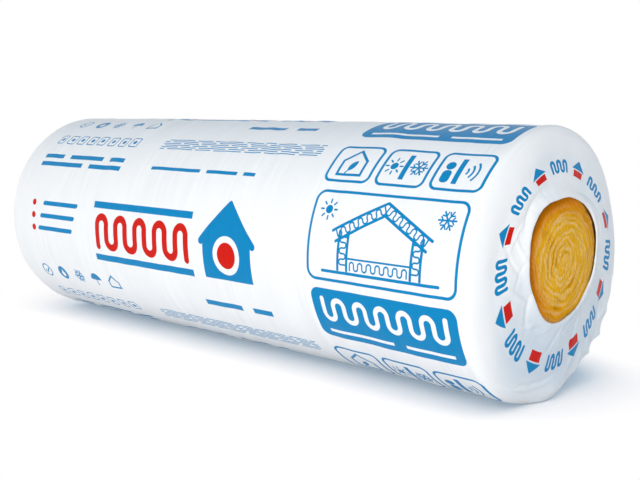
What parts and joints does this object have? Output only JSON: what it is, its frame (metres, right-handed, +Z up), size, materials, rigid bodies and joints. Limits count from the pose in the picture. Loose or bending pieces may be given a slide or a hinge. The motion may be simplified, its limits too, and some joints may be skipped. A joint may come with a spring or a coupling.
{
  "type": "insulation roll",
  "caption": "Roll of glass wool insulation blanket in a printed white film wrap, gathered round an opening at each end, for insulating roofs, walls and floors.",
  "frame": {"origin": "on the floor, under the middle of the roll, where it lies on its side", "axes": "+X along the roll's axis, towards the end that the picture shows; +Z up"},
  "size_m": [1.216, 0.4226, 0.4226],
  "materials": {
    "film": "satin",
    "glass_wool": "matte"
  },
  "bodies": {
    "root": {"wool_roll": "glass_wool", "film_wrap": "film"}
  },
  "joints": []
}
